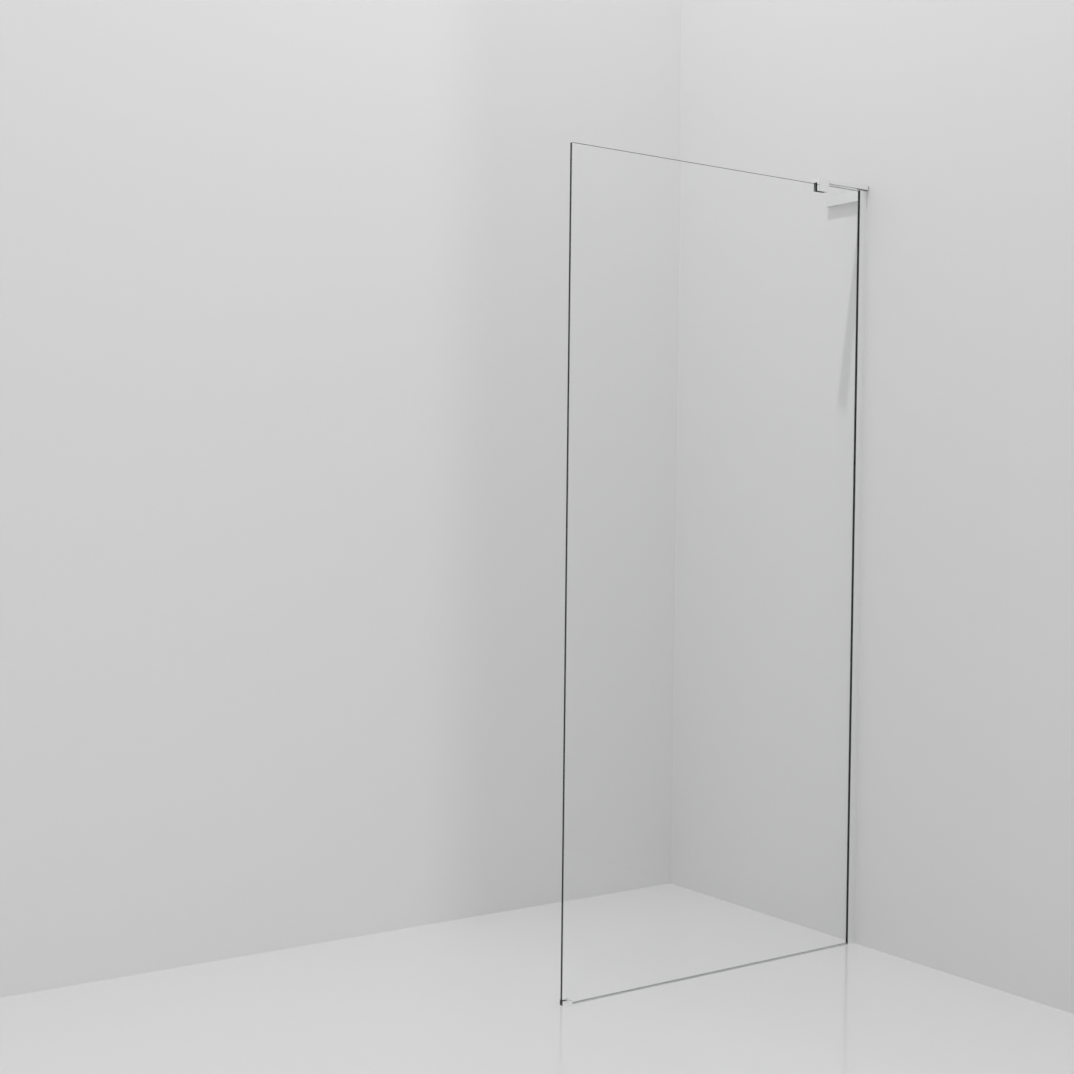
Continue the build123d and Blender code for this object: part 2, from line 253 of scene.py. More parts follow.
@dataclass(frozen=True)
class ClearGlass:
    """Toughened clear glass. Lamps reach what stands behind it."""

    name: str
    tint: Colour
    shadow: Colour
    roughness: float = 0.0
    smear: float = 0.0
    smear_scale: float = 9
    smear_fall: float = 0.25
    smear_stops: Stops = ((0.45, 0), (0.8, 1))
    grain: float = 0.0
    grain_scale: float = 900
    grain_depth: float = 0.02 * MM
    grain_strength: float = 0.4

    def material(self) -> Material:
        """Builds the glass with faint wiped smears or the fine lines of a ground edge.

        Returns:
            The material.
        """
        sheet = Sheet(self.name)
        sockets: dict[str, Any] = {
            "Base Color": (*self.tint, 1),
            "Transmission Weight": 1.0,
            "IOR": CLEAR_IOR,
            "Roughness": self.roughness,
        }
        if self.smear:
            wiped = sheet.noise(sheet.place((1, 1, self.smear_fall)), self.smear_scale, detail=3)
            smears = sheet.stepped(wiped, self.smear_stops)
            sockets["Roughness"] = self.roughness + smears * self.smear
        if self.grain:
            lines = sheet.noise(sheet.place(), self.grain_scale, detail=1)
            sockets["Roughness"] = self.roughness + lines * self.grain
            sockets["Normal"] = sheet.bump(lines, self.grain_depth, self.grain_strength)
        glass = sheet.principled(sockets)
        colour = {"Color": (*self.shadow, 1)}
        through = sheet.node("ShaderNodeBsdfTransparent", {}, colour).outputs[0]
        rays = sheet.node("ShaderNodeLightPath")
        from_lamps = Value(sheet, rays.outputs["Is Shadow Ray"])
        from_walls = Value(sheet, rays.outputs["Is Diffuse Ray"])
        lit = from_lamps.maths("MAXIMUM", from_lamps, from_walls)
        mixed = sheet.node("ShaderNodeMixShader", {}, {0: lit, 1: glass, 2: through})
        return sheet.finished(mixed.outputs[0])


@dataclass(frozen=True)
class PolishedMetal:
    """Bright metal with fine hairlines and a faint ripple."""

    name: str
    colour: Colour
    roughness: float
    hairline: float
    ripple: float
    along: Along | None = None
    stretch: float = 0.01
    line_scale: float = 2600
    line_height: float = 0.35
    cloud_scale: float = 45
    ripple_scale: float = 160
    dark_share: float = 0.96
    relief: float = 0.5

    def material(self) -> Material:
        """Builds the metal, its hairlines drawn out along the grain if it has one.

        Returns:
            The material.
        """
        sheet = Sheet(self.name)
        grain = sheet.place(drawn_out(self.along, self.stretch))
        lines = sheet.noise(grain, self.line_scale, detail=2, rough=0.6)
        clouds = sheet.noise(sheet.place(), self.cloud_scale, detail=3)
        ripples = sheet.noise(sheet.place(), self.ripple_scale, detail=1)
        height = lines * self.line_height + ripples
        sockets = {
            "Base Color": sheet.shaded(clouds, self.colour, self.dark_share),
            "Metallic": 1.0,
            "Roughness": self.roughness + lines * self.hairline + clouds * (self.hairline / 2),
            "Normal": sheet.bump(height, self.ripple, self.relief),
        }
        return sheet.finished(sheet.principled(sockets))


@dataclass(frozen=True)
class BrushedSteel:
    """Stainless steel with a grain in one direction."""

    name: str
    colour: Colour
    along: Along
    stretch: float = 0.02
    grain_scale: float = 1800
    patch_scale: float = 60
    grain_share: float = 0.7
    patch_share: float = 0.3
    dark_share: float = 0.72
    roughness: float = 0.24
    grain_roughness: float = 0.2
    depth: float = 0.03 * MM
    relief: float = 0.6

    def material(self) -> Material:
        """Builds the steel, with its grain in colour, gloss and relief.

        Returns:
            The material.
        """
        sheet = Sheet(self.name)
        drawn = sheet.place(drawn_out(self.along, self.stretch))
        grain = sheet.noise(drawn, self.grain_scale, detail=3, rough=0.7)
        patches = sheet.noise(sheet.place(), self.patch_scale, detail=2)
        mask = (grain * self.grain_share + patches * self.patch_share).clamped()
        sockets = {
            "Base Color": sheet.shaded(mask, self.colour, self.dark_share),
            "Metallic": 1.0,
            "Roughness": self.roughness + grain * self.grain_roughness,
            "Normal": sheet.bump(grain, self.depth, self.relief),
        }
        return sheet.finished(sheet.principled(sockets))


@dataclass(frozen=True)
class Rubber:
    """Black rubber with a fine speckle and a pale bloom."""

    name: str
    colour: Colour
    roughness: float
    speckle_scale: float = 5200
    speckle_share: float = 0.4
    speckle_roughness: float = 0.12
    bloom_scale: float = 70
    bloom_fall: float = 0.3
    bloom_stops: Stops = ((0.42, 0), (0.75, 1))
    bloom_share: float = 0.6
    bloom_gain: float = 2.1
    bloom_lift: float = 0.004
    depth: float = 0.03 * MM
    relief: float = 0.5

    def material(self) -> Material:
        """Builds the rubber from a speckle and broad, pale bloom.

        Returns:
            The material.
        """
        sheet = Sheet(self.name)
        speckle = sheet.noise(sheet.place(), self.speckle_scale, detail=2, rough=0.7)
        cloud = sheet.noise(sheet.place((1, 1, self.bloom_fall)), self.bloom_scale, detail=3)
        bloom = sheet.stepped(cloud, self.bloom_stops)
        painted_light_step = tuple(part * self.bloom_gain + self.bloom_lift for part in self.colour)
        mask = (bloom * self.bloom_share + speckle * self.speckle_share).clamped()
        sockets = {
            "Base Color": sheet.between(mask, self.colour, painted_light_step),
            "Roughness": self.roughness + speckle * self.speckle_roughness,
            "Normal": sheet.bump(speckle, self.depth, self.relief),
        }
        return sheet.finished(sheet.principled(sockets))


@dataclass(frozen=True)
class MouldedPlastic:
    """Moulded plastic with a spark-eroded texture."""

    name: str
    colour: Colour
    roughness: float
    depth: float
    texture_scale: float = 3600
    texture_share: float = 0.3
    texture_roughness: float = 0.12
    tone_scale: float = 80
    tone_share: float = 0.7
    dark_share: float = 0.9
    relief: float = 0.5

    def material(self) -> Material:
        """Builds the plastic from a fine texture and a slow change of tone.

        Returns:
            The material.
        """
        sheet = Sheet(self.name)
        texture = sheet.noise(sheet.place(), self.texture_scale, detail=2, rough=0.6)
        tone = sheet.noise(sheet.place(), self.tone_scale, detail=2)
        mask = (tone * self.tone_share + texture * self.texture_share).clamped()
        sockets = {
            "Base Color": sheet.shaded(mask, self.colour, self.dark_share),
            "Roughness": self.roughness + texture * self.texture_roughness,
            "Normal": sheet.bump(texture, self.depth, self.relief),
        }
        return sheet.finished(sheet.principled(sockets))


@dataclass(frozen=True)
class ClearVinyl:
    """Translucent vinyl of the seal, cloudy along its length."""

    name: str
    colour: Colour
    transmission: float = 0.3
    line_stretch: float = 0.01
    line_scale: float = 2400
    cloud_stretch: float = 0.3
    cloud_scale: float = 90
    dark_share: float = 0.8
    roughness: float = 0.22
    line_roughness: float = 0.2
    depth: float = 0.02 * MM
    relief: float = 0.5

    def material(self) -> Material:
        """Builds the vinyl with die lines along the seal.

        Returns:
            The material.
        """
        sheet = Sheet(self.name)
        drawn = sheet.place(drawn_out(Along.X, self.line_stretch))
        lines = sheet.noise(drawn, self.line_scale, detail=2, rough=0.6)
        spread = sheet.place(drawn_out(Along.X, self.cloud_stretch))
        cloud = sheet.noise(spread, self.cloud_scale, detail=3)
        sockets = {
            "Base Color": sheet.shaded(cloud, self.colour, self.dark_share),
            "Transmission Weight": self.transmission,
            "IOR": CLEAR_IOR,
            "Roughness": self.roughness + lines * self.line_roughness,
            "Normal": sheet.bump(lines, self.depth, self.relief),
        }
        return sheet.finished(sheet.principled(sockets))


@dataclass(frozen=True)
class TurnedSteel:
    """Steel of the small screws, with the fine marks of machining."""

    name: str
    colour: Colour
    mark_scale: float = 3800
    patch_scale: float = 700
    patch_stops: Stops = ((0.35, 0), (0.65, 1))
    dark_share: float = 0.6
    roughness: float = 0.22
    mark_roughness: float = 0.22
    depth: float = 0.015 * MM
    relief: float = 0.5

    def material(self) -> Material:
        """Builds the steel from fine marks and darker patches.

        Returns:
            The material.
        """
        sheet = Sheet(self.name)
        marks = sheet.noise(sheet.place(), self.mark_scale, detail=2, rough=0.7)
        patches = sheet.noise(sheet.place(), self.patch_scale, detail=2)
        mask = sheet.stepped(patches, self.patch_stops)
        sockets = {
            "Base Color": sheet.shaded(mask, self.colour, self.dark_share),
            "Metallic": 1.0,
            "Roughness": self.roughness + marks * self.mark_roughness,
            "Normal": sheet.bump(marks, self.depth, self.relief),
        }
        return sheet.finished(sheet.principled(sockets))


@dataclass(frozen=True)
class PlainBackdrop:
    """A pale stage surface that shows from its front alone."""

    name: str
    colour: Colour
    roughness: float
    specular: float

    def material(self) -> Material:
        """Builds the surface, clear on its back so that it never hides the object.

        Returns:
            The material.
        """
        sheet = Sheet(self.name)
        sockets = {
            "Base Color": (*self.colour, 1),
            "Roughness": self.roughness,
            "Specular IOR Level": self.specular,
        }
        front = sheet.principled(sockets)
        clear = sheet.node("ShaderNodeBsdfTransparent").outputs[0]
        side = sheet.node("ShaderNodeNewGeometry").outputs["Backfacing"]
        mixed = sheet.node("ShaderNodeMixShader", {}, {0: side, 1: front, 2: clear})
        return sheet.finished(mixed.outputs[0])


CLEAR_GLASS = ClearGlass(
    "clear_glass", tint=(0.995, 0.998, 0.997), shadow=(0.98, 0.982, 0.981), smear=0.003
)
# Darker tints of the glass for the upright arris and rim: painted shade on the edge.
PAINTED_SHADE_ARRIS = ClearGlass(
    "painted_shade_arris", tint=(0.62, 0.66, 0.65), shadow=(0.8, 0.81, 0.81), roughness=0.12, grain=0.1
)
PAINTED_SHADE_RIM = ClearGlass(
    "painted_shade_rim", tint=(0.4, 0.44, 0.43), shadow=(0.7, 0.72, 0.72), roughness=0.03, grain=0.05
)
# Paler tints of the same glass for the level arris and rim, and for the edge inside the shoe:
# painted light on the edge.
PAINTED_LIGHT_ARRIS = ClearGlass(
    "painted_light_arris", tint=(0.93, 0.95, 0.945), shadow=(0.9, 0.91, 0.91), roughness=0.1, grain=0.1
)
PAINTED_LIGHT_RIM = ClearGlass(
    "painted_light_rim", tint=(0.98, 0.99, 0.985), shadow=(0.93, 0.94, 0.94), roughness=0.03, grain=0.05
)
CHROME = PolishedMetal("chrome", (0.985, 0.987, 0.99), 0.13, hairline=0.06, ripple=0.008 * MM)
ALUMINIUM = PolishedMetal(
    "polished_aluminium", (0.985, 0.987, 0.99), 0.26, hairline=0.1, ripple=0.01 * MM, along=Along.Z
)
PLATE_STEEL = BrushedSteel("stainless_plate", (0.62, 0.63, 0.64), Along.Y)
SMALL_STEEL = TurnedSteel("steel_screws", (0.56, 0.57, 0.58))
BLACK_RUBBER = Rubber("black_rubber", (0.012, 0.012, 0.013), roughness=0.42)
SILVER_PLASTIC = MouldedPlastic("end_cap", (0.75, 0.76, 0.77), roughness=0.32, depth=0.012 * MM)
GREY_PLASTIC = MouldedPlastic("packer", (0.32, 0.33, 0.35), roughness=0.45, depth=0.02 * MM)
SEAL_VINYL = ClearVinyl("clear_seal", (0.84, 0.86, 0.87))
PALE_FLOOR = PlainBackdrop("pale_floor", (0.8, 0.8, 0.8), roughness=0.1, specular=0.5)
PALE_WALL = PlainBackdrop("pale_wall", (0.83, 0.83, 0.83), roughness=0.55, specular=0.3)


# Mesh tools


@dataclass
class Form:
    """A mesh under way, in the frame of the whole screen."""

    mesh: bmesh.types.BMesh = field(default_factory=bmesh.new)

    def block(self, low: Vector, high: Vector) -> None:
        """Adds a box between its lowest and highest corners."""
        place = Matrix.Translation((low + high) / 2) @ Matrix.Diagonal((*(high - low), 1))
        bmesh.ops.create_cube(self.mesh, size=1, matrix=place)

    def round_edges(
        self, edges: Iterable[bmesh.types.BMEdge], width: float, segments: int
    ) -> None:
        """Bevels some edges.

        Args:
            edges: The edges.
            width: The bevel's width in metres.
            segments: Its number of steps.
        """
        bmesh.ops.bevel(
            self.mesh,
            geom=list(edges),
            offset=width,
            offset_type="OFFSET",
            affect="EDGES",
            segments=segments,
            profile=0.5,
            clamp_overlap=True,
            material=-1,
        )

    def sharp_edges(self, along: Along | None = None) -> list[bmesh.types.BMEdge]:
        """Finds the edges whose faces meet at more than the sharp angle.

        Args:
            along: The direction to which the edges are limited, if any.

        Returns:
            The edges.
        """
        joined = [edge for edge in self.mesh.edges if len(edge.link_faces) == 2]
        found = [edge for edge in joined if edge.calc_face_angle(0) > SHARP_ANGLE]
        if along is None:
            return found
        ways = [(edge.verts[1].co - edge.verts[0].co).normalized() for edge in found]
        return [edge for edge, way in zip(found, ways) if abs(way.dot(along.value)) > PARALLEL]

    def prism(self, outline: Sequence[Vector], travel: Vector) -> None:
        """Adds a closed prism.

        Args:
            outline: The corners of one end.
            travel: The way from that end to the other.
        """
        end = self.mesh.faces.new([self.mesh.verts.new(corner) for corner in outline])
        grown = bmesh.ops.extrude_face_region(self.mesh, geom=[end], use_keep_orig=True)["geom"]
        moved = [part for part in grown if isinstance(part, bmesh.types.BMVert)]
        bmesh.ops.translate(self.mesh, verts=moved, vec=travel)
        self.turn_outward()

    def spin(self, steps: int) -> None:
        """Spins the profile in the mesh round its Z axis into a closed skin.

        Args:
            steps: The number of sides.
        """
        bmesh.ops.spin(
            self.mesh,
            geom=[*self.mesh.verts, *self.mesh.edges],
            cent=(0, 0, 0),
            axis=(0, 0, 1),
            angle=math.tau,
            steps=steps,
            use_merge=True,
            use_duplicate=False,
        )
        bmesh.ops.remove_doubles(self.mesh, verts=self.mesh.verts[:], dist=MERGE_DISTANCE)

    def split_level(self, height: float) -> None:
        """Cuts new edges into the faces that cross a height."""
        geometry = [*self.mesh.verts, *self.mesh.edges, *self.mesh.faces]
        bmesh.ops.bisect_plane(
            self.mesh, geom=geometry, plane_co=(0, 0, height), plane_no=(0, 0, 1)
        )

    def turn_outward(self) -> None:
        """Turns every face outward."""
        bmesh.ops.recalc_face_normals(self.mesh, faces=self.mesh.faces[:])

    def transform(self, matrix: Matrix) -> None:
        """Moves and turns the whole mesh."""
        bmesh.ops.transform(self.mesh, matrix=matrix, verts=self.mesh.verts[:])

    def join(self, other: "Form") -> None:
        """Takes in another form's mesh.

        Args:
            other: The form, which is used up.
        """
        data = bpy.data.meshes.new("joined")
        other.mesh.to_mesh(data)
        other.mesh.free()
        self.mesh.from_mesh(data)
        bpy.data.meshes.remove(data)

    def into_object(self, name: str, materials: Sequence[Material]) -> bpy.types.Object:
        """Turns the mesh into an object at the origin.

        Args:
            name: The piece's name.
            materials: Its finishes, in the order of the faces' material numbers.

        Returns:
            The object, smooth but for its sharp edges.
        """
        data = bpy.data.meshes.new(name)
        self.mesh.to_mesh(data)
        self.mesh.free()
        for material in materials:
            data.materials.append(material)
        data.polygons.foreach_set("use_smooth", [True] * len(data.polygons))
        data.set_sharp_from_angle(angle=SHARP_ANGLE)
        made = bpy.data.objects.new(name, data)
        bpy.context.scene.collection.objects.link(made)
        return made


def box_of(node: str) -> tuple[Vector, Vector]:
    """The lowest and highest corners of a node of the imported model."""
    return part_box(node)


def dress(nodes: Iterable[str], material: Material, edge: float) -> None:
    """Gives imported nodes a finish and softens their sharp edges.

    Args:
        nodes: The nodes' names.
        material: Their finish.
        edge: The width of the softened edge in metres.
    """
    for name in nodes:
        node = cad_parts[name]
        node.data.materials.clear()
        node.data.materials.append(material)
        weld = node.modifiers.new("weld", "WELD")
        weld.merge_threshold = MERGE_DISTANCE
        flat = node.modifiers.new("flat", "DECIMATE")
        flat.decimate_type = "DISSOLVE"
        flat.angle_limit = FLAT_ANGLE
        soft = node.modifiers.new("soft", "BEVEL")
        soft.width = edge
        soft.segments = SOFT_EDGE_SEGMENTS
        soft.limit_method = "ANGLE"
        soft.angle_limit = SHARP_ANGLE
        soft.harden_normals = True
        log.info("dressed %s with %s", name, material.name)


def fit(made: bpy.types.Object, body: Body, slot: str, *nodes: str) -> None:
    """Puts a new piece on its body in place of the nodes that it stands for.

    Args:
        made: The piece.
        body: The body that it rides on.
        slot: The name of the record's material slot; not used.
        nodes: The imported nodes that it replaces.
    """
    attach(made, body.value)
    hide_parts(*nodes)
    log.info("made %s with %d faces on %s", made.name, len(made.data.polygons), body.value)


# Small screws


@dataclass(frozen=True)
class GrubScrew:
    """A headless screw with a thread, a flat tip and a hexagon socket. Lengths are in metres.

    The shares of the mouth and the point are of the socket's corner radius, that of the depth is of
    the screw's length, and those of the floor and the point's width are of the ring before.
    """

    radius: float
    pitch: float
    across_flats: float
    sides: int = 36
    chamfer: float = 0.4 * MM
    tip_chamfers: float = 1.4
    cuts_per_pitch: int = 8
    thread_share: float = 0.3
    mouth_share: float = 1.08
    mouth_depth: float = 0.15 * MM
    depth_share: float = 0.45
    floor_share: float = 0.82
    point_share: float = 0.45
    point_width: float = 0.05

    def build(self, tip: Vector, direction: Vector, length: float) -> Form:
        """Builds the screw: a spun profile with a thread pressed into it, and a socket.

        Args:
            tip: The middle of its tip.
            direction: The way from its tip to its socket.
            length: Its length.

        Returns:
            The screw's own form.
        """
        form = Form()
        profile = [
            Vector((0, 0, 0)),
            Vector((self.radius - self.chamfer * self.tip_chamfers, 0, 0)),
            Vector((self.radius, 0, self.chamfer)),
            Vector((self.radius, 0, length - self.chamfer)),
            Vector((self.radius - self.chamfer, 0, length)),
        ]
        corners = [form.mesh.verts.new(point) for point in profile]
        edges = [form.mesh.edges.new(pair) for pair in zip(corners, corners[1:])]
        shank = edges[2]
        cuts = round(length / self.pitch * self.cuts_per_pitch)
        bmesh.ops.subdivide_edges(form.mesh, edges=[shank], cuts=cuts)
        form.spin(self.sides)
        self.press_thread(form, length)
        self.sink_socket(form, length)
        form.turn_outward()
        turn = Along.Z.value.rotation_difference(direction).to_matrix().to_4x4()
        form.transform(Matrix.Translation(tip) @ turn)
        return form

    def press_thread(self, form: Form, length: float) -> None:
        """Moves the shank's skin in and out along a helix, fading at both ends.

        Args:
            form: The screw's form.
            length: Its length.
        """
        depth = self.pitch * self.thread_share
        for vert in form.mesh.verts:
            reach = math.hypot(vert.co.x, vert.co.y)
            if reach < self.radius - self.chamfer / 2:
                continue
            turn = math.atan2(vert.co.y, vert.co.x) / math.tau
            phase = (vert.co.z / self.pitch - turn) % 1.0
            ridge = abs(2 * phase - 1)
            ends = min(vert.co.z, length - vert.co.z) / (2 * self.chamfer)
            shrink = 1 - depth * (1 - ridge) * min(1.0, max(0.0, ends)) / reach
            vert.co.x *= shrink
            vert.co.y *= shrink

    def sink_socket(self, form: Form, length: float) -> None:
        """Closes the screw's outer end with a chamfered hexagon socket and a drill point.

        Args:
            form: The screw's form.
            length: Its length.
        """
        rim = [edge for edge in form.mesh.edges if edge.is_boundary]
        corner = self.across_flats / math.sqrt(3)
        mouth = self.edges_within(self.ring(form, corner * self.mouth_share, length))
        bmesh.ops.bridge_loops(form.mesh, edges=[*rim, *mouth])
        hexagon = self.ring(form, corner, length - self.mouth_depth)
        for vert in hexagon:
            turn = math.atan2(vert.co.y, vert.co.x) % (math.tau / 6) - math.tau / 12
            share = math.cos(math.tau / 12) / math.cos(turn)
            vert.co.x *= share
            vert.co.y *= share
        edges = self.edges_within(hexagon)
        bmesh.ops.bridge_loops(form.mesh, edges=[*mouth, *edges])
        wall = (length * self.depth_share, 1.0)
        floor = (0.0, self.floor_share)
        point = (corner * self.point_share, self.point_width)
        for sink, share in (wall, floor, point):
            grown = bmesh.ops.extrude_edge_only(form.mesh, edges=edges)["geom"]
            ring = [part for part in grown if isinstance(part, bmesh.types.BMVert)]
            bmesh.ops.translate(form.mesh, verts=ring, vec=(0, 0, -sink))
            bmesh.ops.scale(form.mesh, verts=ring, vec=(share, share, 1))
            edges = [part for part in grown if isinstance(part, bmesh.types.BMEdge)]
        bmesh.ops.edgeloop_fill(form.mesh, edges=edges)

    def ring(self, form: Form, radius: float, height: float) -> list[bmesh.types.BMVert]:
        """Adds a level circle round the screw's axis and gives its vertices back."""
        place = Matrix.Translation((0, 0, height))
        return bmesh.ops.create_circle(
            form.mesh, segments=self.sides, radius=radius, matrix=place
        )["verts"]

    @staticmethod
    def edges_within(verts: Iterable[bmesh.types.BMVert]) -> list[bmesh.types.BMEdge]:
        """Finds the edges whose two ends are both among some vertices.

        Args:
            verts: The vertices.

        Returns:
            The edges.
        """
        inside = set(verts)
        edges = {edge for vert in inside for edge in vert.link_edges}
        return [edge for edge in edges if edge.verts[0] in inside and edge.verts[1] in inside]

    def replace(
        self,
        node: str,
        name: str,
        body: Body,
        steel: Material,
        direction: Vector,
        spread: Along | None = None,
    ) -> None:
        """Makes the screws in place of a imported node: one, or a pair at the ends of its box.

        Args:
            node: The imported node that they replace.
            name: The new piece's name.
            body: The body that they ride on.
            steel: Their finish.
            direction: The way from their tips to their sockets.
            spread: The direction in which a pair stands apart, or none for a single screw.
        """
        low, high = box_of(node)
        axis = max(range(3), key=lambda number: abs(direction[number]))
        tip = (low + high) / 2
        tip[axis] = low[axis] if direction[axis] > 0 else high[axis]
        across, places = axis, [tip[axis]]
        if spread is not None:
            across = list(Along).index(spread)
            places = [low[across] + self.radius, high[across] - self.radius]
        form = Form()
        for place in places:
            tip[across] = place
            form.join(self.build(tip, direction, high[axis] - low[axis]))
        fit(form.into_object(name, [steel]), body, "steel_screws", node)


COVER_SCREW = GrubScrew(1.5 * MM, pitch=0.5 * MM, across_flats=1.5 * MM)
SMALL_SCREW = GrubScrew(2.0 * MM, pitch=0.7 * MM, across_flats=2.0 * MM)
PLATE_SCREW = GrubScrew(3.0 * MM, pitch=1.0 * MM, across_flats=3.0 * MM)
DOWN = -Along.Z.value
INWARD = Along.Y.value


# Sub-assemblies


@dataclass
class GlassPanel:
    """The clear panel, with rounded corners and a ground and polished edge, whose tint is darker on
    the upright edges as painted shade and paler on the level ones and inside the shoe as painted
    light.
    """

    corner_radius: float = 3 * MM
    arris: float = 0.8 * MM
    corner_segments: int = 8

    def build(self) -> None:
        """Builds the panel with its faces, its arrises and its rim each in their own finish, the
        edge in darker and paler tints of one glass as painted shade and painted light.
        """
        form = Form()
        form.block(*box_of("glass_panel"))
        form.round_edges(form.sharp_edges(Along.Y), self.corner_radius, self.corner_segments)
        broad = [face for face in form.mesh.faces if abs(face.normal.y) > BROAD_LEAN]
        form.round_edges({edge for face in broad for edge in face.edges}, self.arris, 1)
        # The shoe's height splits the edge, so that its part inside the shoe can take the paler
        # tint of painted light.
        _, shoe_high = box_of("foot_body")
        form.split_level(shoe_high.z)
        for face in form.mesh.faces:
            in_shoe = face.calc_center_median().z < shoe_high.z
            face.material_index = self.finish_of(face.normal, in_shoe)
        edges = [CLEAR_GLASS, PAINTED_SHADE_ARRIS, PAINTED_SHADE_RIM, PAINTED_LIGHT_ARRIS, PAINTED_LIGHT_RIM]
        finishes = [finish.material() for finish in edges]
        fit(form.into_object("clear_glass_panel", finishes), Body.GLASS, "glass", "glass_panel")

    @staticmethod
    def finish_of(normal: Vector, in_shoe: bool) -> int:
        """Tells a broad face from an arris or rim, and a level edge from an upright one, for the
        edge's painted shade and painted light.

        Args:
            normal: The face's normal.
            in_shoe: Whether the face is as low as the shoe; there the edge takes the paler tint as
                painted light from the shoe's bright inside.

        Returns:
            The place in the panel's list of finishes. The level edges and those in the shoe take
            the paler tints of painted light, the upright ones the darker tints of painted shade.
        """
        lean = abs(normal.y)
        if lean > BROAD_LEAN:
            return 0
        # Level faces and faces in the shoe take the paler tints, as painted light; upright ones
        # keep the darker tints, as painted shade.
        painted_light_step = 2 if in_shoe or abs(normal.z) > abs(normal.x) else 0
        return painted_light_step + (1 if lean > ARRIS_LEAN else 2)


@dataclass(frozen=True)
class GasketProfile:
    """The outline of a channel gasket. Places are in metres from its lip at the channel's mouth.

    Fins and valleys face the glass, and a barbed dart behind the web grips the channel.
    """

    web: float = 0.98 * MM
    lip_start: float = 0.35 * MM
    lip_round: float = 0.32 * MM
    valleys: Point = (1.5 * MM, 2.9 * MM, 4.4 * MM)
    fins: Point = (1.9 * MM, 3.3 * MM, 4.9 * MM)
    last_valley: float = 6.1 * MM
    fin_height: float = 0.45 * MM
    tail_inset: float = 0.25 * MM
    tail_chamfer: float = 0.5 * MM
    dart: Point = (3.75 * MM, 3.9 * MM, 4.4 * MM)
    dart_back: Point = (6.15 * MM, 5.9 * MM, 5.4 * MM)
    dart_shoulder: float = 0.3 * MM

    def outline(self, node: str, side: int) -> list[Vector]:
        """Lays the outline out in a packed gasket's box.

        Args:
            node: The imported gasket.
            side: 1 for the shower side, -1 for the other.

        Returns:
            The corners at the gasket's lower end.
        """
        low, high = box_of(node)
        inner = min(abs(low.y), abs(high.y))
        outer = max(abs(low.y), abs(high.y))
        web = inner + self.web
        points = [(low.x + self.lip_start, inner)]
        for valley, fin in zip(self.valleys, self.fins):
            points += [(low.x + valley, inner), (low.x + fin, inner + self.fin_height)]
        points += [
            (low.x + self.last_valley, inner),
            (high.x, inner + self.tail_inset),
            (high.x, web - self.tail_inset),
            (high.x - self.tail_chamfer, web),
        ]
        levels = (web, outer - self.dart_shoulder, outer)
        points += [(low.x + place, level) for place, level in zip(self.dart_back, levels)]
        points += [(low.x + place, level) for place, level in zip(self.dart[::-1], levels[::-1])]
        points += [
            (low.x + self.lip_start, web),
            (low.x, web - self.lip_round),
            (low.x, inner + self.lip_round),
        ]
        return [Vector((x, side * y, low.z)) for x, y in points]


@dataclass(frozen=True)
class SealProfile:
    """The outline of the seal under the glass: a base with two soft fins that lean on the glass."""

    toe_inset: float = 0.2 * MM
    toe_height: float = 0.55 * MM
    slope_inset: float = 1.9 * MM
    slope_height: float = 0.95 * MM
    fin_outer: float = 3.4 * MM
    fin_inner: float = 2.7 * MM
    hollow_half: float = 1.9 * MM
    hollow_height: float = 2.4 * MM

    def outline(self, low: Vector, high: Vector) -> list[Vector]:
        """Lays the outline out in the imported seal's box.

        Args:
            low: The box's lowest corner.
            high: Its highest corner.

        Returns:
            The corners at the seal's free end.
        """
        half, top = high.y, high.z
        front = [
            (-half, 0.0),
            (-half + self.toe_inset, self.toe_height),
            (-half + self.slope_inset, self.slope_height),
            (-self.fin_outer, top),
            (-self.fin_inner, top),
            (-self.hollow_half, self.hollow_height),
        ]
        rear = [(-y, z) for y, z in reversed(front)]
        return [Vector((low.x, y, z)) for y, z in [*front, *rear]]


@dataclass
class WallChannel:
    """The channel on the wall with its gaskets, end cap, packer and the seal under the glass."""

    edge: float = 0.12 * MM
    seal_round: float = 0.12 * MM
    seal_segments: int = 2

    def build(self) -> None:
        """Dresses the channel and its cap, and makes the gaskets and the seal."""
        dress(["wall_channel"], ALUMINIUM.material(), self.edge)
        dress(["channel_top_cap"], SILVER_PLASTIC.material(), self.edge)
        dress(["setting_block"], GREY_PLASTIC.material(), self.edge)
        rubber = BLACK_RUBBER.material()
        self.gasket("channel_gasket_front", rubber, -1)
        self.gasket("channel_gasket_rear", rubber, 1)
        self.seal()

    def gasket(self, node: str, rubber: Material, side: int) -> None:
        """Makes one gasket.

        Args:
            node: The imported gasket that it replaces.
            rubber: Its finish.
            side: 1 for the shower side, -1 for the other.
        """
        low, high = box_of(node)
        form = Form()
        form.prism(GasketProfile().outline(node, side), Vector((0, 0, high.z - low.z)))
        fit(form.into_object(f"rubber_{node}", [rubber]), Body.FIXED, "black_rubber", node)

    def seal(self) -> None:
        """Makes the strip under the glass."""
        low, high = box_of("bottom_seal")
        form = Form()
        form.prism(SealProfile().outline(low, high), Vector((high.x - low.x, 0, 0)))
        form.round_edges(form.sharp_edges(Along.X), self.seal_round, self.seal_segments)
        made = form.into_object("vinyl_bottom_seal", [SEAL_VINYL.material()])
        fit(made, Body.FIXED, "clear_seal", "bottom_seal")


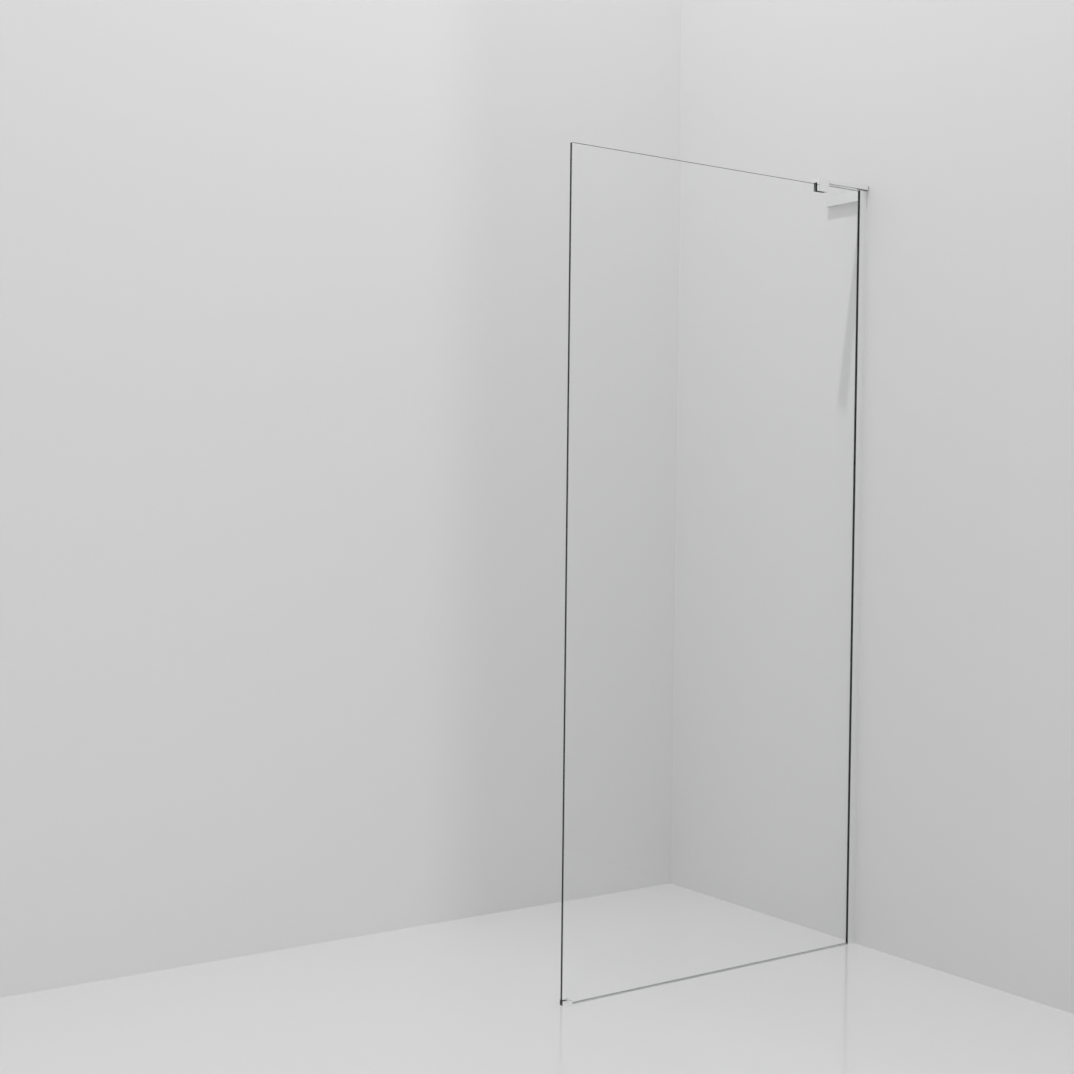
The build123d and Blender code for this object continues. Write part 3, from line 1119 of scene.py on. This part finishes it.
@dataclass
class WallBracket:
    """The plate on the wall, its polished cover and the small screws under it."""

    edge: float = 0.15 * MM

    def build(self, chrome: Material, steel: Material) -> None:
        """Dresses the plate and cover, and makes the cover's screws.

        Args:
            chrome: The cover's finish.
            steel: The screws' finish.
        """
        dress(["bracket_base_plate"], PLATE_STEEL.material(), self.edge)
        dress(["bracket_cover"], chrome, self.edge)
        COVER_SCREW.replace("cover_grub_screws", "cover_screws", Body.FIXED, steel, DOWN, Along.Y)


@dataclass
class StabiliserArm:
    """The flat arm from the wall to the clamp, with its end screw and pins."""

    edge: float = 0.2 * MM

    def build(self, chrome: Material, steel: Material) -> None:
        """Dresses the arm, its screw and its pins.

        Args:
            chrome: The arm's finish.
            steel: The screw's and pins' finish.
        """
        dress(["stabiliser_arm"], chrome, self.edge)
        dress(["arm_end_screw", "arm_dowel_pins"], steel, FINE_EDGE)


@dataclass
class GlassClamp:
    """The saddle over the glass, with its rubber pads, pressure plate and screws."""

    edge: float = 0.2 * MM
    pad_cuts: int = 5
    pad_round: float = 0.35 * MM
    pad_segments: int = 3
    pad_bulge: float = 0.18 * MM
    front_setback: float = 1.4 * MM
    rear_setback: float = 3.6 * MM

    def build(self, chrome: Material, steel: Material) -> None:
        """Dresses the saddle and its plate, and makes the pads and screws.

        Args:
            chrome: The saddle's finish.
            steel: The screws' finish.
        """
        dress(["clamp_body"], chrome, self.edge)
        dress(["pressure_plate"], PLATE_STEEL.material(), FINE_EDGE)
        rubber = BLACK_RUBBER.material()
        self.pad("clamp_pad_front", Body.FIXED, rubber, self.front_setback)
        self.pad("pressure_pad", Body.PLATE, rubber, self.rear_setback)
        self.pad("clamp_top_buffer", Body.FIXED, rubber, self.front_setback)
        PLATE_SCREW.replace("clamp_grub_screws", "plate_screws", Body.PLATE, steel, INWARD, Along.X)
        SMALL_SCREW.replace("arm_grub_screw", "arm_screw", Body.FIXED, steel, INWARD)

    def pad(self, node: str, body: Body, rubber: Material, setback: float) -> None:
        """Makes one pad with rounded edges, a little pressed out in its middle.

        Args:
            node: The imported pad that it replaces.
            body: The body that it rides on.
            rubber: Its finish.
            setback: How far its ends lie behind the saddle's.
        """
        low, high = box_of(node)
        low, high = low + Vector((setback, 0, 0)), high - Vector((setback, 0, 0))
        inset = Vector((self.pad_bulge, 0, self.pad_bulge))
        form = Form()
        form.block(low + inset, high - inset)
        edges = form.mesh.edges[:]
        bmesh.ops.subdivide_edges(form.mesh, edges=edges, cuts=self.pad_cuts, use_grid_fill=True)
        self.press_out(form, low, high)
        form.round_edges(form.sharp_edges(), self.pad_round, self.pad_segments)
        fit(form.into_object(f"rubber_{node}", [rubber]), body, "black_rubber", node)

    def press_out(self, form: Form, low: Vector, high: Vector) -> None:
        """Lets the rim of a pad swell between the faces that squeeze it.

        Args:
            form: The pad's form.
            low: The lowest corner of its space.
            high: The highest corner.
        """
        middle, half = (low + high) / 2, (high - low) / 2
        thin = min(range(3), key=lambda axis: half[axis])
        for vert in form.mesh.verts:
            share = (vert.co[thin] - middle[thin]) / half[thin]
            swell = self.pad_bulge * (1 - share * share)
            for axis in range(3):
                edge = abs(vert.co[axis] - middle[axis]) - (half[axis] - self.pad_bulge)
                if axis != thin and edge > -MERGE_DISTANCE:
                    vert.co[axis] += math.copysign(swell, vert.co[axis] - middle[axis])


@dataclass
class FloorFoot:
    """The shoe at the free bottom corner, with its rubber liner and screws."""

    edge: float = 0.2 * MM
    wall: float = 1.15 * MM
    glass_gap: float = 0.1 * MM
    lip_drop: float = 3.6 * MM
    lip_round: float = 0.25 * MM
    lip_segments: int = 3
    liner_setback: float = 3.0 * MM

    def build(self, chrome: Material, steel: Material) -> None:
        """Dresses the shoe, and makes the liner and screws.

        Args:
            chrome: The shoe's finish.
            steel: The screws' finish.
        """
        dress(["foot_body"], chrome, self.edge)
        self.liner()
        SMALL_SCREW.replace("foot_grub_screws", "foot_screws", Body.FIXED, steel, INWARD, Along.X)

    def liner(self) -> None:
        """Makes the U of rubber between the shoe and the glass, with rounded lips."""
        low, high = box_of("foot_liner")
        glass_low, _ = box_of("glass_panel")
        inner = high.y - self.wall
        floor, lip = glass_low.z - self.glass_gap, high.z - self.lip_drop
        points = [
            (-high.y, low.z),
            (high.y, low.z),
            (high.y, lip),
            (inner, lip),
            (inner, floor),
            (-inner, floor),
            (-inner, lip),
            (-high.y, lip),
        ]
        outline = [Vector((low.x + self.liner_setback, y, z)) for y, z in points]
        form = Form()
        form.prism(outline, Vector((high.x - low.x - 2 * self.liner_setback, 0, 0)))
        form.round_edges(form.sharp_edges(), self.lip_round, self.lip_segments)
        made = form.into_object("rubber_foot_liner", [BLACK_RUBBER.material()])
        fit(made, Body.FIXED, "black_rubber", "foot_liner")


# Stage, lamps and camera


@dataclass
class RoomCorner:
    """A plain pale floor with two plain walls behind the screen.

    The floor and the side wall lap over the screen's seats a little, so that the seats are lit.
    """

    lap: float = 0.3 * MM
    back_wall: float = 0.762
    reach: float = 7.0
    height: float = 5.0

    def build(self) -> None:
        """Builds the floor and walls as single sheets that face the screen."""
        floor, wall = PALE_FLOOR.material(), PALE_WALL.material()
        far, top = -self.reach, self.height
        side, back, low = -self.lap, self.back_wall, self.lap
        sheets = {
            "floor": [(far, far, low), (0, far, low), (0, back, low), (far, back, low)],
            "side_wall": [(side, far, 0), (side, far, top), (side, back, top), (side, back, 0)],
            "end_wall": [(far, back, 0), (0, back, 0), (0, back, top), (far, back, top)],
        }
        for (name, corners), material in zip(sheets.items(), (floor, wall, wall)):
            form = Form()
            form.mesh.faces.new([form.mesh.verts.new(corner) for corner in corners])
            form.into_object(name, [material])


class LampKind(Enum):
    """The kinds of lamp in the room."""

    DISK = "AREA"
    SUN = "SUN"


@dataclass(frozen=True)
class SoftLamp:
    """A soft lamp with a place and an aim in metres.

    A disk has its width in metres and its power in watts, a sun its angle in radians and strength.
    """

    name: str
    kind: LampKind
    place: Point
    aim: Point
    width: float
    power: float

    def hang(self) -> None:
        """Adds the lamp to the scene, turned to its aim and left out of mirror reflections."""
        lamp = bpy.data.lights.new(self.name, self.kind.value)
        lamp.energy = self.power
        if self.kind is LampKind.DISK:
            lamp.shape = "DISK"
            lamp.size = self.width
        else:
            lamp.angle = self.width
        made = bpy.data.objects.new(self.name, lamp)
        made.visible_glossy = False
        made.location = self.place
        made.rotation_mode = "QUATERNION"
        aim = Vector(self.aim) - Vector(self.place)
        made.rotation_quaternion = aim.to_track_quat("-Z", "Y")
        bpy.context.scene.collection.objects.link(made)


KEY_LAMP = SoftLamp(
    "key", LampKind.DISK, place=(-1.56, -0.57, 6.22), aim=(-0.165, 0.0, 2.0), width=0.11, power=95
)
FRONT_LAMP = SoftLamp(
    "front", LampKind.SUN, place=(-0.56, -4.0, 2.15), aim=(-0.964, 0.0, 1.0), width=0.03, power=0.23
)


@dataclass
class StudioLight:
    """A pale world, a soft key lamp high on the free side of the screen, and a weak front light."""

    world_level: float = 0.585

    def build(self) -> None:
        """Sets the world and hangs the lamps."""
        world = bpy.data.worlds.new("pale_room")
        world.use_nodes = True
        sky = world.node_tree.nodes["Background"]
        sky.inputs["Color"].default_value = (1, 1, 1, 1)
        sky.inputs["Strength"].default_value = self.world_level
        bpy.context.scene.world = world
        KEY_LAMP.hang()
        FRONT_LAMP.hang()


@dataclass
class PhotoCamera:
    """The camera of the photograph, as fitted to its room and glass lines. Angles in degrees."""

    place: Point = (-3.1026, -2.9381, 1.1881)
    lens: float = 52.73
    sensor: float = 36
    nearest: float = 0.01
    yaw: float = 34.972
    pitch: float = 1.512
    roll: float = 0.639

    def build(self) -> None:
        """Makes the camera and gives it to the scene."""
        yaw, pitch, roll = (math.radians(angle) for angle in (self.yaw, self.pitch, self.roll))
        flat = math.cos(pitch)
        ahead = Vector((math.sin(yaw) * flat, math.cos(yaw) * flat, -math.sin(pitch)))
        level = Vector((math.cos(yaw), -math.sin(yaw), 0))
        down = ahead.cross(level)
        right = level * math.cos(roll) - down * math.sin(roll)
        up = -(level * math.sin(roll) + down * math.cos(roll))
        camera = bpy.data.cameras.new("photo_camera")
        camera.lens = self.lens
        camera.sensor_width = self.sensor
        camera.clip_start = self.nearest
        made = bpy.data.objects.new("photo_camera", camera)
        turn = Matrix((right, up, -ahead)).transposed().to_4x4()
        made.matrix_world = Matrix.Translation(self.place) @ turn
        bpy.context.scene.collection.objects.link(made)
        bpy.context.scene.camera = made


def main() -> None:
    """Builds the camera, the light, the room and the screen, piece by piece."""
    logging.basicConfig(level=logging.INFO, format="%(message)s")
    PhotoCamera().build()
    StudioLight().build()
    RoomCorner().build()
    chrome = CHROME.material()
    steel = SMALL_STEEL.material()
    GlassPanel().build()
    WallChannel().build()
    WallBracket().build(chrome, steel)
    StabiliserArm().build(chrome, steel)
    GlassClamp().build(chrome, steel)
    FloorFoot().build(chrome, steel)
    bpy.context.scene.view_settings.view_transform = "Standard"


if __name__ == "__main__":
    main()
